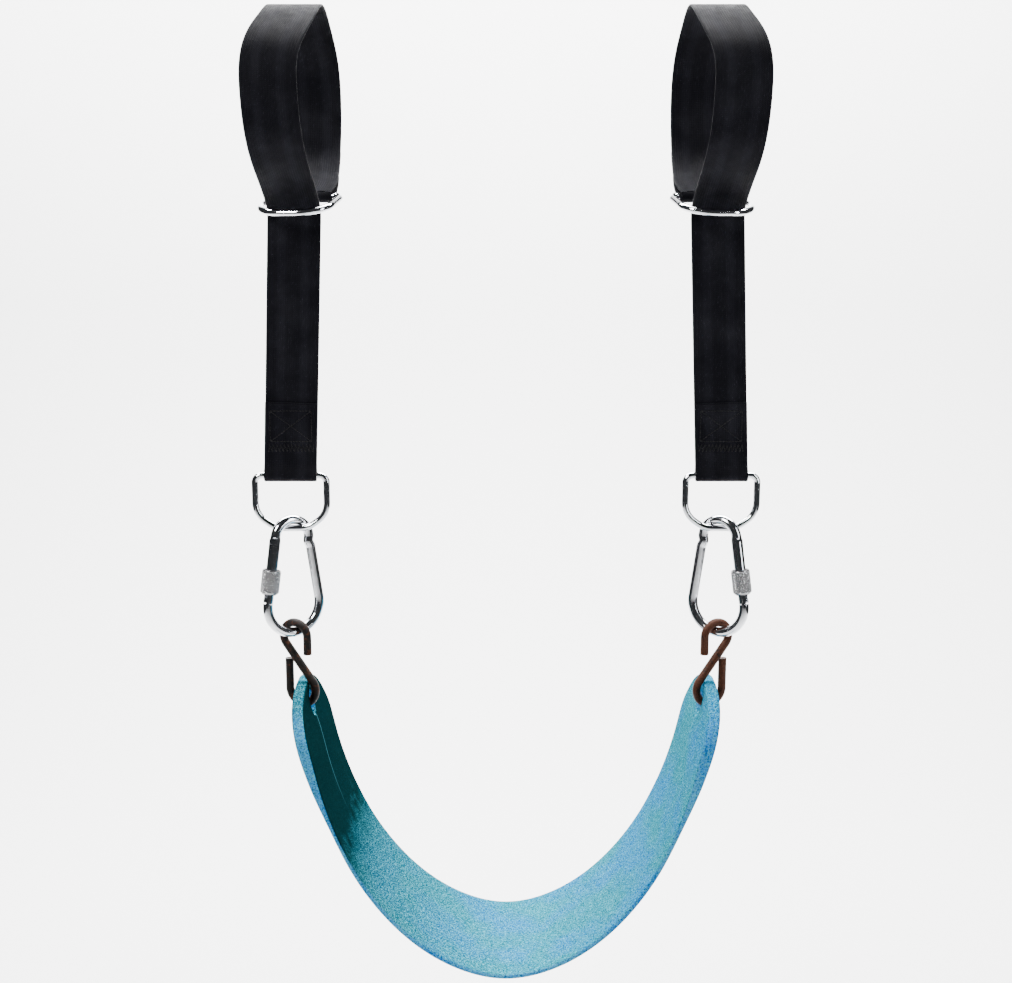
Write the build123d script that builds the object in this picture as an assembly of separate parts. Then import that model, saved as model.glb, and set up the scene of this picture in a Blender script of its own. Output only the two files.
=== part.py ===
"""Belt swing seat with its whole hanging kit.

Two webbing straps choke round a beam.  Each strap carries a D-ring, a screw-lock pear
carabiner and an S-hook, and the two S-hooks hold the ends of a moulded belt seat.

Frame: +Z up, +X along the beam, front is -Y.  The origin is on the beam's axis, midway
between the two straps.  Every piece of hardware is modelled on the right side (+X) and
mirrored to the left.
"""
from build123d import *
import os
from math import acos, asin, cos, degrees, hypot, radians, sin, sqrt, tan

# ---------------------------------------------------------------- driving dimensions, mm
BEAM_RADIUS = 80

# Webbing straps
WEB_WIDTH = 50
WEB_THICK = 2.5
STRAP_TOP_X = 196.5        # centre of the strap where it passes the choke ring
STRAP_BOTTOM_X = 206       # centre of the strap at its lower eye
LOOP_FRONT = [(190, 90), (190, 80), (202, 45), (205, 0), (202, -45), (196.5, -99), (196.5, -120)]
LOOP_BACK = [(190, 90), (190, 80), (186, 45), (184, 0), (184, -50), (184, -90)]
APEX_Z = -99               # where the two runs of the loop meet below the beam
APEX_RADIUS = 8
SWING_Z = -108             # swing hinge line, just below the choke
FOLD_TOP_Z = -280          # free edge of the folded-back ply of the lower eye
FOLD_BOTTOM_Z = -338
THREAD = 0.4               # height of the sewing thread above the webbing
SEAM = 0.9                 # width of one row of sewing
SEWN_BOX = (40, 30)
SEWN_BOX_DROP = 22         # its middle, below the free edge of the folded ply
TACKS = 13                 # bar tacks in the row below the box
TACK_HEIGHT = 8
TACK_DROP = 21             # middle of that row, below the middle of the box
TACK_MARGIN = 4            # from the last tack to the webbing's edge
CHOKE_FOLD_ANGLE = 22      # how far the choke eye's folded ply reaches up the beam, degrees
CHOKE_SEAMS = 5
CHOKE_SEAM_START = 4       # degrees from where the eye leaves the beam
CHOKE_SEAM_PITCH = 3.5     # degrees round the beam

# D-rings, one size for the choke and for the lower eye
RING_WIRE = 6.4
RING_WIDTH = 75
RING_DEPTH = 58
RING_SIDE = 38             # straight run of the ring's sides, with the bends
RING_FOOT = 15             # half the flat run of the bow
RING_BENDS = (7, 22, 24)   # bend radii at the bar, the side and the bow
RING_BAR_Z = -349.75
EYE_GAP = 0.25             # bar to webbing
CHOKE_BAR = (186.5, 24.2, -87.6)
CHOKE_YAW = 16
CHOKE_PITCH = 17

# Pear carabiner with a screw-lock gate
CARABINER_X = 206
CARABINER_Y = 0
CARABINER_YAW = 36         # the gate side stands to the front
CARABINER_WIRE = 9.6
CARABINER_HEIGHT = 121.5
TOP_BOW_RADIUS = 18
BOTTOM_BOW_RADIUS = 28
DENT_AT = 8                # small dent in the spine, below the top bow
DENT_DEPTH = 1.8
DENT_REACH = 5
DENT_BEND = 6
GATE_DIAMETER = 11
GATE_END_DIAMETER = 9.6    # turned down beyond the sleeve
GATE_END_LENGTH = 9.5
GATE_BORE = 5.8
GATE_BORE_END = 40
GATE_GAP = 0.7             # between the gate's end and the carabiner's nose
RIVET_DIAMETER = 3.2
RIVET_AT = 5.5             # along the gate line, from the end of the top bow
RIVET_SUNK = 0.1           # below the gate's sides
RIVET_GAP = 0.05           # round it, in the gate
TAB_THICK = 4.6
TAB_RADIUS = 4.2
TAB_ROOT = 2               # how far the tab reaches back into the bow
FORK_GAP = 0.3             # on each side of the tab
NOSE_DEPTH = 6.8           # how far the T-nose reaches into the gate
NOSE_STEM_R = 2.2
NOSE_HEAD_R = 2
NOSE_HEAD_HALF = 3.2
NOSE_CLEAR = 0.5
PLUNGER_R = 1.1
PLUNGER_HEAD_R = 2.6
PLUNGER_SPAN = (10.5, 22)
PLUNGER_HEAD_SPAN = (15, 16.5)
SPRING_WIRE_R = 0.35
SPRING_R = 2.2
SPRING_PITCH = 2.6
SPRING_SPAN = (17, 38)
SLEEVE_DIAMETER = 18
SLEEVE_BORE = 11.6
SLEEVE_LENGTH = 24
SLEEVE_AT = 31.7
SLEEVE_RECESS = (14.4, 5)  # diameter and depth of the recess in the sleeve's upper end
SLEEVE_CHAMFERS = (1, 2.2)  # upper and lower rim
REST_GAP = 0.6             # between pieces that hang on each other

# S-hook
HOOK_X = 199
HOOK_Y = -2.8
HOOK_YAW = 25              # the lower bow runs to the outside and the back
HOOK_WIRE = 8
HOOK_TOP_RADIUS = 13.5
HOOK_CONTACT = 0.6         # how far inside the carabiner's middle the hook hangs
HOOK_BOTTOM_RADIUS = 14.5
HOOK_LOW_Z = -576          # wire centre at the bottom of the lower bow
HOOK_TOP_TIP_Z = -526
HOOK_BOTTOM_TIP_Z = -532

# Belt seat
SEAT_WIDTH = 160
SEAT_THIN = 4.6
SEAT_THICK = 12
SEAT_TAPER = (-690, -596)  # heights between which the belt thickens
SEAT_TIP_Z = -553.5
SEAT_LINE = [(0, -828.6), (44, -819.2), (80.8, -798.2), (122.3, -757), (148.8, -716),
             (167.4, -675.6), (184.2, -635.4), (195, -602.3), (202, -577.5), (204.5, -559.5)]
SEAT_TIP_ROUND = 3         # rounding of the tip's two edges
SEAT_END_DEPTH = 58        # depth of the half-elliptic end of the belt
SEAT_END_OVER = 0.6        # how far that ellipse would reach above the flat tip
HOLE_Z = -576
HOLE_WIDTH = 24
HOLE_HEIGHT = 26

# ---------------------------------------------------------------- worked out from those
LOOP_BACK_X = LOOP_BACK[-1][0]
WEB_MID = BEAM_RADIUS + WEB_THICK / 2
TAIL_Y = WEB_THICK / 2
WIRE_R = RING_WIRE / 2
EYE_BORE = WIRE_R + EYE_GAP
EYE_MID = EYE_BORE + WEB_THICK / 2
EYE_OUTER = EYE_BORE + WEB_THICK
RING_BOW = RING_DEPTH - RING_WIRE
RING_BOTTOM_Z = RING_BAR_Z - RING_BOW
CARABINER_R = CARABINER_WIRE / 2
TOP_BOW_Z = RING_BOTTOM_Z + WIRE_R + REST_GAP + CARABINER_R - TOP_BOW_RADIUS
BOTTOM_BOW_Z = (TOP_BOW_Z + TOP_BOW_RADIUS + CARABINER_R - CARABINER_HEIGHT
                + CARABINER_R + BOTTOM_BOW_RADIUS)
BOW_LEAN = asin((BOTTOM_BOW_RADIUS - TOP_BOW_RADIUS) / (TOP_BOW_Z - BOTTOM_BOW_Z))
GATE_DIR = Vector(sin(BOW_LEAN), -cos(BOW_LEAN))
GATE_OUT = Vector(cos(BOW_LEAN), sin(BOW_LEAN))
GATE_START = Vector(0, TOP_BOW_Z) + GATE_OUT * TOP_BOW_RADIUS
NOSE_AT = sqrt((TOP_BOW_Z - BOTTOM_BOW_Z) ** 2 - (BOTTOM_BOW_RADIUS - TOP_BOW_RADIUS) ** 2)
HOOK_REST_Z = BOTTOM_BOW_Z - BOTTOM_BOW_RADIUS + CARABINER_R + REST_GAP
HOOK_TOP_Z = HOOK_REST_Z + HOOK_WIRE / 2 - HOOK_TOP_RADIUS
HOOK_BOTTOM_Z = HOOK_LOW_Z + HOOK_BOTTOM_RADIUS
EVERYTHING = 300           # larger than any cutting tool needs to be

CARABINER_PLANE = Plane(
    origin=(CARABINER_X, CARABINER_Y, 0),
    x_dir=(cos(radians(CARABINER_YAW)), -sin(radians(CARABINER_YAW)), 0),
    z_dir=(-sin(radians(CARABINER_YAW)), -cos(radians(CARABINER_YAW)), 0),
)
HOOK_PLANE = Plane(
    origin=(HOOK_X, HOOK_Y, 0),
    x_dir=(cos(radians(HOOK_YAW)), sin(radians(HOOK_YAW)), 0),
    z_dir=(sin(radians(HOOK_YAW)), -cos(radians(HOOK_YAW)), 0),
)
FRONT_PLANE = Plane(origin=(0, 0, 0), x_dir=(1, 0, 0), z_dir=(0, -1, 0))


def polygon(points):
    """A flat face from corner points."""
    return make_face(Polyline(*points, close=True))


def swept_wire(path, radius):
    """Round wire along a path."""
    section = Plane(origin=path @ 0, z_dir=path % 0) * Circle(radius)
    return sweep(section, path=path)


def thick_arc(centre, radius, start, end, thick=WEB_THICK):
    """Band of a circle between two directions less than half a turn apart."""
    inner, outer = radius - thick / 2, radius + thick / 2
    middle = (start + end).normalized()
    edges = [
        ThreePointArc(centre + start * outer, centre + middle * outer, centre + end * outer),
        Line(centre + end * outer, centre + end * inner),
        ThreePointArc(centre + end * inner, centre + middle * inner, centre + start * inner),
        Line(centre + start * inner, centre + start * outer),
    ]
    return make_face(Wire(edges))


def thick_line(start, end, thick=WEB_THICK):
    """Band along a straight line."""
    side = (end - start).normalized().rotate(Axis.Z, 90) * (thick / 2)
    return polygon([start + side, end + side, end - side, start - side])


# ---------------------------------------------------------------- webbing
def drift_strip(middle_points):
    """The strap seen from the front: a curved ribbon with a straight last run, as a prism."""
    down = Vector(0, -1)
    runs = []
    for side in (-1, 1):
        *curve, last = [Vector(x + side * WEB_WIDTH / 2, z) for x, z in middle_points]
        runs.append([Spline(*curve, tangents=(down, down)), Line(curve[-1], last)])
    (inner, inner_drop), (outer, outer_drop) = runs
    top, bottom = Line(inner @ 0, outer @ 0), Line(inner_drop @ 1, outer_drop @ 1)
    face = make_face(Wire([inner, inner_drop, bottom, outer_drop, outer, top]))
    return extrude(FRONT_PLANE * face, EVERYTHING, both=True)


def side_prism(face):
    """A profile drawn in the YZ plane, run along the beam past the strap's width."""
    return extrude(Plane.YZ * face, EVERYTHING)


def front_run_profile():
    """From the top of the beam over its front, down to the choke and the swing hinge."""
    apex = Vector(TAIL_Y, APEX_Z)
    spread = degrees(acos(WEB_MID / apex.length))
    leave = apex.normalized().rotate(Axis.Z, -spread)
    contact = leave * WEB_MID
    along = (apex - contact).normalized()
    down = Vector(0, -1)
    half_turn = radians(along.get_angle(down)) / 2
    reach = APEX_RADIUS * tan(half_turn)
    bend_start, bend_end = apex - along * reach, apex + down * reach
    bend_centre = bend_end - Vector(APEX_RADIUS, 0)
    end = Vector(TAIL_Y, SWING_Z + WEB_THICK / 2 + REST_GAP)
    return (
        thick_arc(Vector(0, 0), WEB_MID, Vector(0, 1), leave)
        + thick_line(contact, bend_start)
        + thick_arc(bend_centre, APEX_RADIUS, (bend_start - bend_centre).normalized(),
                    (bend_end - bend_centre).normalized())
        + thick_line(bend_end, end)
    )


def choke_axes():
    """Direction of the choke ring's bar, and of its run from bar to bow."""
    yaw, pitch = radians(CHOKE_YAW), radians(CHOKE_PITCH)
    bar = Vector(cos(yaw), sin(yaw), 0)
    depth = Vector(sin(yaw) * cos(pitch), -cos(yaw) * cos(pitch), -sin(pitch))
    return bar, depth


def back_contact():
    """Where the back run leaves the beam, as a direction in the YZ plane."""
    bar = Vector(CHOKE_BAR[1], CHOKE_BAR[2])
    spread = degrees(acos((WEB_MID + EYE_MID) / bar.length))
    return bar.normalized().rotate(Axis.Z, spread)


def eye_ply(bar_side, beam_offset):
    """One ply from the beam to the eye round the choke ring's bar."""
    leave = back_contact()
    normal = Vector(0, leave.X, leave.Y)
    run = Vector(0, leave.Y, -leave.X)
    bar, _ = choke_axes()
    top = Plane(origin=Vector(LOOP_BACK_X, 0, 0) + normal * (WEB_MID + beam_offset),
                x_dir=(1, 0, 0), z_dir=run)
    tilted = normal.rotate(Axis.Z, CHOKE_YAW)
    bottom = Plane(origin=Vector(*CHOKE_BAR) + tilted * (bar_side * EYE_MID),
                   x_dir=bar, z_dir=run.rotate(Axis.Z, CHOKE_YAW))
    faces = [plane * Rectangle(WEB_WIDTH, WEB_THICK) for plane in (top, bottom)]
    return loft(faces, ruled=True)


def choke_eye():
    """The sewn eye round the choke ring's bar, with its two plies."""
    bar, _ = choke_axes()
    plane = Plane(origin=Vector(*CHOKE_BAR), z_dir=bar)
    tube = extrude(plane * Circle(EYE_OUTER), WEB_WIDTH / 2, both=True)
    bore = extrude(plane * Circle(EYE_BORE), WEB_WIDTH, both=True)
    beam = extrude(Plane.YZ * Circle(BEAM_RADIUS), EVERYTHING)
    return tube + eye_ply(-1, 0) + eye_ply(1, WEB_THICK) - bore - beam


def fold_sector():
    """The folded-back ply where it lies on the strap behind the beam."""
    leave = back_contact()
    end = leave.rotate(Axis.Z, CHOKE_FOLD_ANGLE)
    return thick_arc(Vector(0, 0), WEB_MID + WEB_THICK, leave, end)


def strap_loop():
    """The strap's loop round the beam, from the choke eye to the swing hinge."""
    front = side_prism(front_run_profile()) & drift_strip(LOOP_FRONT)
    over_back = thick_arc(Vector(0, 0), WEB_MID, Vector(0, 1), back_contact())
    back = side_prism(over_back + fold_sector()) & drift_strip(LOOP_BACK)
    return front + back + choke_eye()


def tail_profile():
    """Single ply, folded lower ply and the eye for the lower D-ring."""
    main = thick_line(Vector(TAIL_Y, SWING_Z), Vector(TAIL_Y, FOLD_BOTTOM_Z))
    fold = thick_line(Vector(-TAIL_Y, FOLD_TOP_Z), Vector(-TAIL_Y, FOLD_BOTTOM_Z))
    wedge = polygon([
        Vector(-WEB_THICK, FOLD_BOTTOM_Z), Vector(WEB_THICK, FOLD_BOTTOM_Z),
        Vector(EYE_OUTER, RING_BAR_Z), Vector(-EYE_OUTER, RING_BAR_Z)])
    top = Pos(TAIL_Y, SWING_Z) * Circle(WEB_THICK / 2)
    eye = Pos(0, RING_BAR_Z) * Circle(EYE_OUTER)
    bore = Pos(0, RING_BAR_Z) * Circle(EYE_BORE)
    return main + fold + wedge + top + eye - bore


def strap_middle_x(z):
    """Centre of the hanging strap at a height: it spreads a little on its way down."""
    share = (z - SWING_Z) / (RING_BAR_Z - SWING_Z)
    return STRAP_TOP_X + share * (STRAP_BOTTOM_X - STRAP_TOP_X)


def strap_tail():
    """The hanging part of the strap, from the swing hinge to the lower eye."""
    heights = [SWING_Z + 5, RING_BAR_Z - 10]
    half = WEB_WIDTH / 2
    sides = [(strap_middle_x(z) - half, z) for z in heights]
    sides += [(strap_middle_x(z) + half, z) for z in reversed(heights)]
    ribbon = extrude(FRONT_PLANE * polygon(sides), EVERYTHING, both=True)
    return side_prism(tail_profile()) & ribbon


def sewn_pattern():
    """A sewn box with a cross in it and a row of bar tacks below, as flat sketches."""
    width, height = SEWN_BOX
    frame = Rectangle(width, height) - Rectangle(width - 2 * SEAM, height - 2 * SEAM)
    slope = degrees(asin(height / hypot(width, height)))
    length = hypot(width, height) - 2 * SEAM
    cross = Rot(0, 0, slope) * Rectangle(length, SEAM) + Rot(0, 0, -slope) * Rectangle(length, SEAM)
    reach = WEB_WIDTH / 2 - TACK_MARGIN
    pitch = 2 * reach / (TACKS - 1)
    tack = Rectangle(SEAM, TACK_HEIGHT)
    tacks = [Pos(i * pitch - reach, -TACK_DROP) * tack for i in range(TACKS)]
    return [frame + cross] + tacks


def tail_stitching():
    """Sewing of the lower eye, standing on both faces of the webbing."""
    middle = FOLD_TOP_Z - SEWN_BOX_DROP
    solids = []
    for face_y, out in ((-WEB_THICK, -1), (WEB_THICK, 1)):
        plane = Plane(origin=(strap_middle_x(middle), face_y, middle), x_dir=(1, 0, 0),
                      z_dir=(0, -1, 0))
        solids += [extrude(plane * sketch, -out * THREAD) for sketch in sewn_pattern()]
    return Compound(children=solids)


def loop_stitching():
    """Sewing of the choke eye, standing on the outer ply behind the beam."""
    foot = WEB_MID + 1.5 * WEB_THICK
    solids = []
    for step in range(CHOKE_SEAMS):
        direction = back_contact().rotate(Axis.Z, CHOKE_SEAM_START + step * CHOKE_SEAM_PITCH)
        seam = thick_line(direction * foot, direction * (foot + THREAD), SEAM)
        bar = extrude(Plane.YZ * seam, WEB_WIDTH / 2 - TACK_MARGIN, both=True)
        solids.append(Pos(LOOP_BACK_X, 0, 0) * bar)
    return Compound(children=solids)


# ---------------------------------------------------------------- metal rings and hooks
def ring_solid():
    """A welded D-ring in its own plane: straight bar on top, shallow bow below."""
    half = RING_WIDTH / 2 - WIRE_R
    corners = [(half, 0), (half, -RING_SIDE), (RING_FOOT, -RING_BOW)]
    right = FilletPolyline((0, 0), *corners, (0, -RING_BOW), radius=list(RING_BENDS))
    side = swept_wire(right, WIRE_R)
    return side + mirror(side, about=Plane.YZ)


def d_ring():
    """The lower ring, hanging in the strap's eye."""
    plane = Plane(origin=(STRAP_BOTTOM_X, 0, RING_BAR_Z), x_dir=(1, 0, 0), z_dir=(0, -1, 0))
    return plane * ring_solid()


def choke_ring():
    """The upper ring, which the strap passes through below the beam."""
    bar, depth = choke_axes()
    plane = Plane(origin=Vector(*CHOKE_BAR), x_dir=bar, z_dir=bar.cross(depth * -1))
    return plane * ring_solid()


def s_hook():
    """Bent round wire: upper bow on the carabiner, lower bow through the belt's hole."""
    offset = (CARABINER_X - HOOK_CONTACT - HOOK_X) / cos(radians(HOOK_YAW))
    top = Vector(offset, HOOK_TOP_Z)
    bottom = Vector(0, HOOK_BOTTOM_Z)
    between = top - bottom
    lean = asin((HOOK_TOP_RADIUS + HOOK_BOTTOM_RADIUS) / between.length)
    leg = between.normalized().rotate(Axis.Z, -degrees(lean))
    side = leg.rotate(Axis.Z, 90)
    leg_top = top - side * HOOK_TOP_RADIUS
    leg_bottom = bottom + side * HOOK_BOTTOM_RADIUS
    top_left = top - Vector(HOOK_TOP_RADIUS, 0)
    bottom_right = bottom + Vector(HOOK_BOTTOM_RADIUS, 0)
    top_middle = (Vector(1, 0) + side).normalized()
    bottom_middle = (Vector(-1, 0) - side).normalized()
    path = Wire([
        Line(Vector(top_left.X, HOOK_TOP_TIP_Z), top_left),
        ThreePointArc(top_left, top + top_middle * HOOK_TOP_RADIUS, leg_top),
        Line(leg_top, leg_bottom),
        ThreePointArc(leg_bottom, bottom + bottom_middle * HOOK_BOTTOM_RADIUS, bottom_right),
        Line(bottom_right, Vector(bottom_right.X, HOOK_BOTTOM_TIP_Z)),
    ])
    return HOOK_PLANE * swept_wire(path, HOOK_WIRE / 2)


# ---------------------------------------------------------------- carabiner
def gate_point(along, out=0):
    """A point in the carabiner's plane, measured along the gate line and outward."""
    return GATE_START + GATE_DIR * along + GATE_OUT * out


def gate_rod(start, end, radius, bore=0):
    """A round rod or tube on the gate line."""
    plane = Plane(origin=gate_point(start), z_dir=GATE_DIR)
    rod = extrude(plane * Circle(radius), end - start)
    if bore:
        rod -= extrude(plane * Circle(bore), end - start)
    return rod


def gate_block(start, end, inner, outer, half_thick):
    """A block on the gate line: along it, outward from it, and through the plane."""
    corners = [gate_point(start, inner), gate_point(end, inner),
               gate_point(end, outer), gate_point(start, outer)]
    return extrude(polygon(corners), half_thick, both=True)


def cross_pin(along, radius, half_length):
    """A pin square to the carabiner's plane, on the gate line."""
    return extrude(Pos(gate_point(along)) * Circle(radius), half_length, both=True)


def carabiner_path():
    """Middle line of the bent wire: nose, big bow, dented spine, small bow, hinge end."""
    top, bottom = Vector(0, TOP_BOW_Z), Vector(0, BOTTOM_BOW_Z)
    spine_side = Vector(-GATE_OUT.X, GATE_OUT.Y)
    nose = bottom + GATE_OUT * BOTTOM_BOW_RADIUS
    spine_low = bottom + spine_side * BOTTOM_BOW_RADIUS
    spine_high = top + spine_side * TOP_BOW_RADIUS
    down = (spine_low - spine_high).normalized()
    dent = [spine_high + down * DENT_AT + down * (DENT_REACH * step) for step in (1, 0, -1)]
    dent[1] -= spine_side * DENT_DEPTH
    hinge = top + GATE_OUT * TOP_BOW_RADIUS
    return Wire([
        ThreePointArc(nose, bottom - Vector(0, BOTTOM_BOW_RADIUS), spine_low),
        *FilletPolyline(spine_low, *dent, spine_high, radius=DENT_BEND).edges(),
        ThreePointArc(spine_high, top + Vector(0, TOP_BOW_RADIUS), hinge),
    ])


def carabiner_body():
    """Forged C: hinge tab at the small end, T-nose at the large end."""
    wire = swept_wire(carabiner_path(), CARABINER_R)
    half_tab = TAB_THICK / 2
    tab = gate_block(-TAB_ROOT, RIVET_AT, -TAB_RADIUS, TAB_RADIUS, half_tab)
    tab += cross_pin(RIVET_AT, TAB_RADIUS, half_tab)
    tab -= cross_pin(RIVET_AT, RIVET_DIAMETER / 2, GATE_DIAMETER)
    stem = gate_rod(NOSE_AT - NOSE_DEPTH, NOSE_AT + NOSE_CLEAR, NOSE_STEM_R)
    head = cross_pin(NOSE_AT - NOSE_DEPTH, NOSE_HEAD_R, NOSE_HEAD_HALF)
    return CARABINER_PLANE * (wire + tab + stem + head)


def gate():
    """Gate tube: forked round the hinge tab, notched for the T-nose."""
    radius = GATE_DIAMETER / 2
    end = NOSE_AT - GATE_GAP
    ears = cross_pin(RIVET_AT, radius - NOSE_CLEAR, radius)
    ears &= gate_rod(RIVET_AT - GATE_DIAMETER, RIVET_AT + GATE_DIAMETER, radius)
    tube = gate_rod(RIVET_AT, end - GATE_END_LENGTH, radius) + ears
    tube += gate_rod(end - GATE_END_LENGTH, end, GATE_END_DIAMETER / 2)
    fork_end = RIVET_AT + TAB_RADIUS + NOSE_CLEAR
    fork = gate_block(-TAB_RADIUS, fork_end, -GATE_DIAMETER, GATE_DIAMETER,
                      TAB_THICK / 2 + FORK_GAP)
    bore = gate_rod(fork_end - NOSE_CLEAR, GATE_BORE_END, GATE_BORE / 2)
    pin_hole = cross_pin(RIVET_AT, RIVET_DIAMETER / 2 + RIVET_GAP, GATE_DIAMETER)
    stem_half, head_half = NOSE_STEM_R + NOSE_CLEAR, NOSE_HEAD_R + NOSE_CLEAR
    head_at = NOSE_AT - NOSE_DEPTH
    stem_slot = gate_block(head_at, NOSE_AT, -stem_half, GATE_DIAMETER, stem_half)
    head_slot = gate_block(head_at - head_half, head_at + head_half, -stem_half, GATE_DIAMETER,
                           NOSE_HEAD_HALF + NOSE_CLEAR / 2)
    return CARABINER_PLANE * (tube - fork - bore - pin_hole - stem_slot - head_slot)


def gate_rivet():
    """Rivet through the fork and the tab, peened just below the gate's sides."""
    return CARABINER_PLANE * cross_pin(RIVET_AT, RIVET_DIAMETER / 2, GATE_DIAMETER / 2 - RIVET_SUNK)


def gate_plunger():
    """Headed pin that the spring holds against the hinge tab."""
    stem = gate_rod(*PLUNGER_SPAN, PLUNGER_R)
    head = gate_rod(*PLUNGER_HEAD_SPAN, PLUNGER_HEAD_R)
    return CARABINER_PLANE * (stem + head)


def gate_spring():
    """Coil spring behind the plunger's head, inside the gate."""
    start, end = SPRING_SPAN
    helix = Helix(pitch=SPRING_PITCH, height=end - start, radius=SPRING_R)
    section = Plane(origin=helix @ 0, z_dir=helix % 0) * Circle(SPRING_WIRE_R)
    coil = sweep(section, path=helix, is_frenet=True)
    return CARABINER_PLANE * (Plane(origin=gate_point(start), z_dir=GATE_DIR) * coil)


def lock_sleeve():
    """Screw sleeve on the gate, shown unscrewed, with a recess in its upper end."""
    radius, bore = SLEEVE_DIAMETER / 2, SLEEVE_BORE / 2
    recess, depth = SLEEVE_RECESS[0] / 2, SLEEVE_RECESS[1]
    upper, lower = SLEEVE_CHAMFERS
    profile = [(0, recess), (0, radius - upper), (upper, radius), (SLEEVE_LENGTH - lower, radius),
               (SLEEVE_LENGTH, radius - lower), (SLEEVE_LENGTH, bore), (depth, bore), (depth, recess)]
    face = polygon([gate_point(SLEEVE_AT + along, out) for along, out in profile])
    return CARABINER_PLANE * revolve(face, Axis(gate_point(0), GATE_DIR))


# ---------------------------------------------------------------- belt seat
def belt_thickness(z):
    """Thin in the middle of the belt and thick at its ends, with a smooth change."""
    low, high = SEAT_TAPER
    share = min(1, max(0, (z - low) / (high - low)))
    return SEAT_THIN + (SEAT_THICK - SEAT_THIN) * share * share * (3 - 2 * share)


def belt_half():
    """Right half of the belt's curve seen from the front, as a flat face."""
    ends = [(1, 0), (0, 1)]
    outer = Spline(*SEAT_LINE, tangents=ends)
    steps = 24
    inner_points = []
    for i in range(steps + 1):
        point, along = outer @ (i / steps), outer % (i / steps)
        inner_points.append(point + along.rotate(Axis.Z, 90) * belt_thickness(point.Y))
    inner = Spline(*inner_points, tangents=ends)
    corners = [Vector((curve @ 1).X, SEAT_TIP_Z) for curve in (outer, inner)]
    tip = FilletPolyline(outer @ 1, *corners, inner @ 1, radius=SEAT_TIP_ROUND)
    return make_face(Wire([outer, *tip.edges(), inner, Line(inner @ 0, outer @ 0)]))


def seat_belt():
    """Moulded belt: bent strip with half-elliptic ends and a slot near each end."""
    half = extrude(FRONT_PLANE * belt_half(), SEAT_WIDTH / 2, both=True)
    centre_z = SEAT_TIP_Z + SEAT_END_OVER - SEAT_END_DEPTH
    outline = Pos(0, centre_z) * Ellipse(SEAT_WIDTH / 2, SEAT_END_DEPTH)
    outline += Pos(0, centre_z - EVERYTHING / 2) * Rectangle(SEAT_WIDTH, EVERYTHING)
    half &= extrude(Plane.YZ * outline, EVERYTHING, both=True)
    slot = Pos(0, HOLE_Z) * SlotOverall(HOLE_HEIGHT, HOLE_WIDTH, rotation=90)
    belt = half + mirror(half, about=Plane.YZ)
    return belt - extrude(Plane.YZ * slot, EVERYTHING, both=True)


# ---------------------------------------------------------------- output
SIDED_PIECES = {
    "strap_loop": strap_loop,
    "loop_stitching": loop_stitching,
    "choke_ring": choke_ring,
    "strap_tail": strap_tail,
    "tail_stitching": tail_stitching,
    "d_ring": d_ring,
    "carabiner_body": carabiner_body,
    "gate_rivet": gate_rivet,
    "gate": gate,
    "gate_plunger": gate_plunger,
    "gate_spring": gate_spring,
    "lock_sleeve": lock_sleeve,
    "s_hook": s_hook,
}


def main():
    os.makedirs("parts", exist_ok=True)
    for name, build in SIDED_PIECES.items():
        right = build()
        export_step(right, f"parts/right_{name}.step")
        export_step(mirror(right, about=Plane.YZ), f"parts/left_{name}.step")
    export_step(seat_belt(), "parts/seat_belt.step")


main()
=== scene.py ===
"""Looks of the belt swing seat: webbing, thread, seat skin, knurls, rust and plating."""
from math import acos, asin, atan2, ceil, cos, hypot, pi, radians, sin, sqrt, tan

import bmesh
import bpy
import numpy as np
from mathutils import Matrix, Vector


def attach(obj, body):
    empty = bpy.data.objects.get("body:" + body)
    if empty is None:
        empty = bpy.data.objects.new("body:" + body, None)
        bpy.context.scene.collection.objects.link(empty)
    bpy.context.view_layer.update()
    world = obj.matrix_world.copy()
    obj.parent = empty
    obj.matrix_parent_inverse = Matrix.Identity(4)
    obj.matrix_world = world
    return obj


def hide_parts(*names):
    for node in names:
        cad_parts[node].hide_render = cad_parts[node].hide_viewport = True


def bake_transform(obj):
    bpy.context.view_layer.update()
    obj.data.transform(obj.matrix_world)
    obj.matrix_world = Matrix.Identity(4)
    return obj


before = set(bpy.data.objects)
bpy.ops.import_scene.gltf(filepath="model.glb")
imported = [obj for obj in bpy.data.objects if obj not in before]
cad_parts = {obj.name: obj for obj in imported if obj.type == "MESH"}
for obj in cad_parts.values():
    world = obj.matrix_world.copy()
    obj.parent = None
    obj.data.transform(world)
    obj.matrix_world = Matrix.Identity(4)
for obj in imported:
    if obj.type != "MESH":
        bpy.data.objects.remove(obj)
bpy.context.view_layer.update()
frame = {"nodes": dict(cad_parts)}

MM = 0.001
SIDES = {"right": 1, "left": -1}

# ---------------------------------------------------------------- sizes of the real pieces, mm
BEAM_R = 80
WEB_W, WEB_T = 50, 2.5
WEB_MID_R = BEAM_R + WEB_T / 2
APEX = (WEB_T / 2, -99)
APEX_R = 8
SWING_Z = -108
FOLD_TOP, FOLD_LOW = -280, -338
LOWER_BAR_Z = -349.75
CHOKE_BAR = np.array((186.5, 24.2, -87.6))
CHOKE_YAW = radians(16)
EYE_R = 4.7
STRAP_TOP_X, STRAP_LOW_X, STRAP_BACK_X = 196.5, 206, 184
# where the loop's middle line stands at each height, (x, z), in front of the beam and behind it
FRONT_DRIFT = [(190, 90), (190, 80), (202, 45), (205, 0), (202, -45),
               (STRAP_TOP_X, APEX[1]), (STRAP_TOP_X, -120)]
BACK_DRIFT = [(190, 90), (190, 80), (186, 45),
              (STRAP_BACK_X, 0), (STRAP_BACK_X, -50), (STRAP_BACK_X, -90)]
FOLD_OVERLAP = radians(22)
RIBS, RIB_DEPTH, SELVEDGE = 22, 0.14, 1.4

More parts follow.
